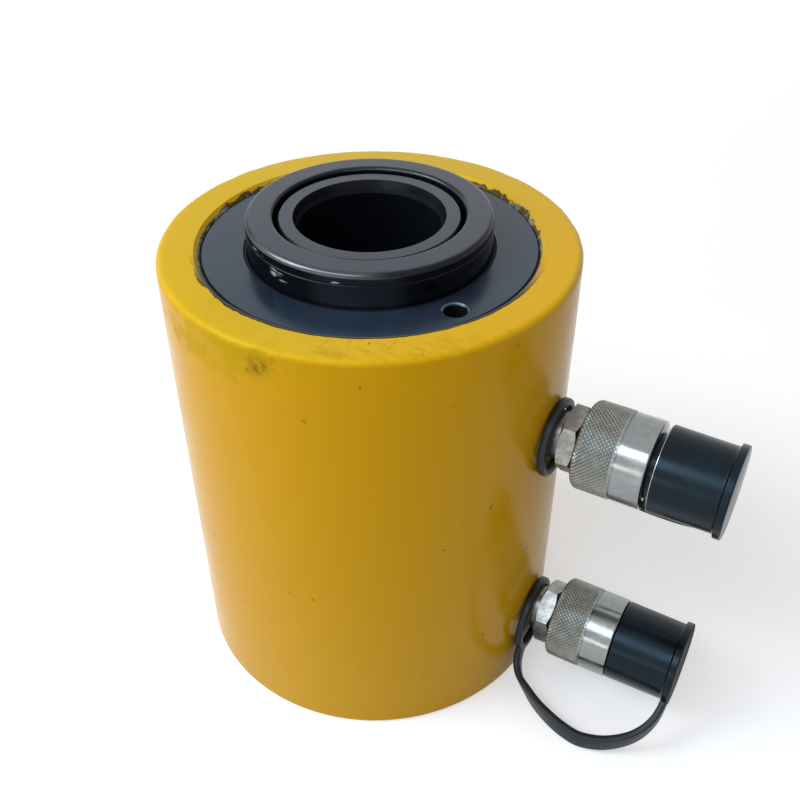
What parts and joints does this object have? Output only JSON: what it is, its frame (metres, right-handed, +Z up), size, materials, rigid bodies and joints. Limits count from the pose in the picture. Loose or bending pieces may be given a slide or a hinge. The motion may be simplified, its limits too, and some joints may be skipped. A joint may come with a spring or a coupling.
{
  "type": "hollow plunger cylinder",
  "caption": "Double-acting hydraulic cylinder with a hole through its plunger, ring saddle, painted round body and screw couplers under tethered dust caps.",
  "frame": {"origin": "centre of the through hole in the plane of the foot", "axes": "+Z up along the hole, the way the plunger extends; +X along the couplers"},
  "size_m": [0.2291, 0.159, 0.203],
  "materials": {
    "body_paint": "glossy enamel",
    "black_oxide": "black oxide, satin",
    "dark_steel": "dark nitrided, semi-gloss",
    "seal_rubber": "matte",
    "lip_seal": "satin polyurethane",
    "guide_plastic": "matte",
    "coupler_steel": "zinc plated",
    "cap_rubber": "semi-gloss"
  },
  "bodies": {
    "cylinder": {"cylinder_body": "body_paint", "centre_tube": "dark_steel", "tube_o_ring": "seal_rubber", "gland_nut": "black_oxide", "rod_wiper": "seal_rubber", "rod_seal": "lip_seal", "rod_guide_ring": "guide_plastic", "gland_o_ring": "seal_rubber", "gland_backup_ring": "guide_plastic", "upper_coupler_body": "coupler_steel", "upper_snap_ring": "coupler_steel", "upper_nose_o_ring": "seal_rubber", "upper_spring_retainer": "coupler_steel", "upper_poppet_spring": "coupler_steel", "upper_cap_strap": "cap_rubber", "lower_coupler_body": "coupler_steel", "lower_snap_ring": "coupler_steel", "lower_nose_o_ring": "seal_rubber", "lower_spring_retainer": "coupler_steel", "lower_poppet_spring": "coupler_steel", "lower_cap_strap": "cap_rubber"},
    "plunger": {"plunger": "dark_steel", "saddle": "dark_steel", "inner_wiper": "seal_rubber", "inner_seal": "lip_seal", "inner_guide_ring": "guide_plastic", "piston_seal": "lip_seal", "piston_guide_ring": "guide_plastic"},
    "upper_collar": {"upper_collar": "coupler_steel"},
    "upper_dust_cap": {"upper_dust_cap": "cap_rubber"},
    "upper_poppet": {"upper_poppet": "coupler_steel"},
    "lower_collar": {"lower_collar": "coupler_steel"},
    "lower_dust_cap": {"lower_dust_cap": "cap_rubber"},
    "lower_poppet": {"lower_poppet": "coupler_steel"}
  },
  "joints": [
    {"name": "plunger_stroke", "type": "slide", "parent": "cylinder", "child": "plunger", "axis": [0, 0, 1], "range_m": [0, 0.05]},
    {"name": "upper_collar_spin", "type": "hinge", "parent": "cylinder", "child": "upper_collar", "pos_m": [0.106, 0, 0.1292], "axis": [1, 0, 0], "continuous": true},
    {"name": "upper_cap_pull", "type": "slide", "parent": "cylinder", "child": "upper_dust_cap", "axis": [1, 0, 0], "range_m": [-0.0021, 0.04], "deforming": ["upper_cap_strap"]},
    {"name": "upper_poppet_push", "type": "slide", "parent": "cylinder", "child": "upper_poppet", "axis": [-1, 0, 0], "range_m": [0, 0.003], "stiffness_N_per_m": 500, "springref_m": -0.004, "deforming": ["upper_poppet_spring"]},
    {"name": "lower_collar_spin", "type": "hinge", "parent": "cylinder", "child": "lower_collar", "pos_m": [0.106, 0, 0.0296], "axis": [1, 0, 0], "continuous": true},
    {"name": "lower_cap_pull", "type": "slide", "parent": "cylinder", "child": "lower_dust_cap", "axis": [1, 0, 0], "range_m": [0, 0.04], "deforming": ["lower_cap_strap"]},
    {"name": "lower_poppet_push", "type": "slide", "parent": "cylinder", "child": "lower_poppet", "axis": [-1, 0, 0], "range_m": [0, 0.003], "stiffness_N_per_m": 500, "springref_m": -0.004, "deforming": ["lower_poppet_spring"]}
  ]
}
